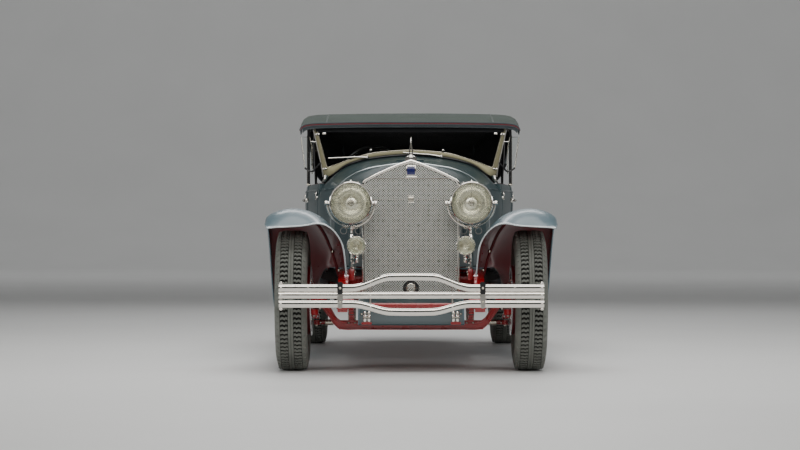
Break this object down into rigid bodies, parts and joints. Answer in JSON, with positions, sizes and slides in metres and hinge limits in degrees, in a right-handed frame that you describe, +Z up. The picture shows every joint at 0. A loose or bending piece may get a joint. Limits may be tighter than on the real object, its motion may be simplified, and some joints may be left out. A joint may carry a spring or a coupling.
{
  "type": "open four-door touring car of the 1920s",
  "caption": "Open touring car with a long bonnet, raised fabric top, opening doors and bonnet lids, wire wheels and linked front steering.",
  "frame": {"origin": "on the ground, at the middle of the car's box in plan", "axes": "+Z up, +Y towards the car's tail, so the car faces -Y; +X is the car's left side"},
  "size_m": [1.746, 5.189, 1.668],
  "materials": {
    "paint_blue": "gloss slate blue-grey",
    "paint_red": "gloss red",
    "black_steel": "satin black",
    "chrome": "polished",
    "nickel": "dull nickel",
    "iron": "as cast",
    "glass": "clear",
    "fabric": "grey canvas",
    "leather": "dark red hide",
    "wood": "varnished",
    "steering_rim": "black",
    "tyre": "matt rubber"
  },
  "bodies": {
    "chassis": {"frame": "paint_red", "front_axle": "paint_red", "rear_axle": "paint_red", "leaf_springs": "paint_red", "engine_block": "iron", "exhaust_system": "iron", "fuel_tank": "black_steel", "radiator_shell": "chrome", "radiator_core": "black_steel", "radiator_grille": "chrome", "front_apron": "paint_blue", "bonnet_sides": "paint_blue", "bonnet_hinge": "chrome", "cowl": "paint_blue", "body_tub": "paint_blue", "floor_boards": "wood", "front_seat": "leather", "rear_seat": "leather", "dashboard": "wood", "steering_column": "black_steel", "windshield_frame": "nickel", "window_glass": "glass", "folding_top": "fabric", "top_bows": "black_steel", "front_fenders": "paint_blue", "rear_fenders": "paint_blue", "running_boards": "paint_blue", "engine_shelves": "paint_blue", "headlamps": "chrome", "driving_lamps": "chrome", "lamp_brackets": "chrome", "lamp_lenses": "glass", "front_bumper": "chrome", "tail_lamps": "chrome", "plate_bracket": "black_steel", "spare_wheel": "paint_red", "spare_tyre": "tyre"},
    "bonnet_lid_left": {"bonnet_top_left": "paint_blue"},
    "bonnet_lid_right": {"bonnet_top_right": "paint_blue"},
    "front_door_left": {"door_front_left": "paint_blue"},
    "front_door_right": {"door_front_right": "paint_blue"},
    "rear_door_left": {"door_rear_left": "paint_blue"},
    "rear_door_right": {"door_rear_right": "paint_blue"},
    "left_knuckle": {"knuckle_left": "paint_red"},
    "right_knuckle": {"knuckle_right": "paint_red"},
    "track_rod": {"tie_rod": "paint_red"},
    "driver_wheel": {"steering_wheel": "steering_rim"},
    "front_left_wheel": {"wheel_front_left": "paint_red", "tyre_front_left": "tyre"},
    "front_right_wheel": {"wheel_front_right": "paint_red", "tyre_front_right": "tyre"},
    "rear_left_wheel": {"wheel_rear_left": "paint_red", "tyre_rear_left": "tyre"},
    "rear_right_wheel": {"wheel_rear_right": "paint_red", "tyre_rear_right": "tyre"}
  },
  "joints": [
    {"name": "steer_left", "type": "hinge", "parent": "chassis", "child": "left_knuckle", "pos_m": [0.585, -1.985, 0.419], "axis": [0, 0, 1], "range_deg": [-26, 26]},
    {"name": "steer_right", "type": "hinge", "parent": "chassis", "child": "right_knuckle", "pos_m": [-0.585, -1.985, 0.419], "axis": [0, 0, 1], "range_deg": [-26, 26]},
    {"name": "track_rod_swing", "type": "hinge", "parent": "left_knuckle", "child": "track_rod", "pos_m": [0.572, -1.795, 0.28], "axis": [0, 0, 1], "range_deg": [-26, 26]},
    {"name": "steering_wheel_turn", "type": "hinge", "parent": "chassis", "child": "driver_wheel", "pos_m": [-0.245, 0.165, 1.23], "axis": [0, 0.8678, 0.497], "range_deg": [-390, 390]},
    {"name": "front_left_spin", "type": "hinge", "parent": "left_knuckle", "child": "front_left_wheel", "pos_m": [0.706, -1.985, 0.419], "axis": [1, 0, 0], "continuous": true},
    {"name": "front_right_spin", "type": "hinge", "parent": "right_knuckle", "child": "front_right_wheel", "pos_m": [-0.706, -1.985, 0.419], "axis": [1, 0, 0], "continuous": true},
    {"name": "rear_left_spin", "type": "hinge", "parent": "chassis", "child": "rear_left_wheel", "pos_m": [0.706, 1.698, 0.419], "axis": [1, 0, 0], "continuous": true},
    {"name": "rear_right_spin", "type": "hinge", "parent": "chassis", "child": "rear_right_wheel", "pos_m": [-0.706, 1.698, 0.419], "axis": [1, 0, 0], "continuous": true},
    {"name": "bonnet_left_hinge", "type": "hinge", "parent": "chassis", "child": "bonnet_lid_left", "pos_m": [0, -1.232, 1.258], "axis": [0, -1, 0], "range_deg": [0, 55]},
    {"name": "bonnet_right_hinge", "type": "hinge", "parent": "chassis", "child": "bonnet_lid_right", "pos_m": [0, -1.232, 1.258], "axis": [0, 1, 0], "range_deg": [0, 55]},
    {"name": "front_left_door_hinge", "type": "hinge", "parent": "chassis", "child": "front_door_left", "pos_m": [0.6285, -0.2, 0.9], "axis": [0, 0, -1], "range_deg": [0, 70]},
    {"name": "front_right_door_hinge", "type": "hinge", "parent": "chassis", "child": "front_door_right", "pos_m": [-0.6285, -0.2, 0.9], "axis": [0, 0, 1], "range_deg": [0, 70]},
    {"name": "rear_left_door_hinge", "type": "hinge", "parent": "chassis", "child": "rear_door_left", "pos_m": [0.755, 1.167, 0.9], "axis": [0, 0, 1], "range_deg": [0, 70]},
    {"name": "rear_right_door_hinge", "type": "hinge", "parent": "chassis", "child": "rear_door_right", "pos_m": [-0.755, 1.167, 0.9], "axis": [0, 0, -1], "range_deg": [0, 70]}
  ],
  "couplings": [
    {"joint": "steer_right", "follows": "steer_left", "ratio": 1},
    {"joint": "track_rod_swing", "follows": "steer_left", "ratio": -1},
    {"joint": "steering_wheel_turn", "follows": "steer_left", "ratio": 15}
  ]
}
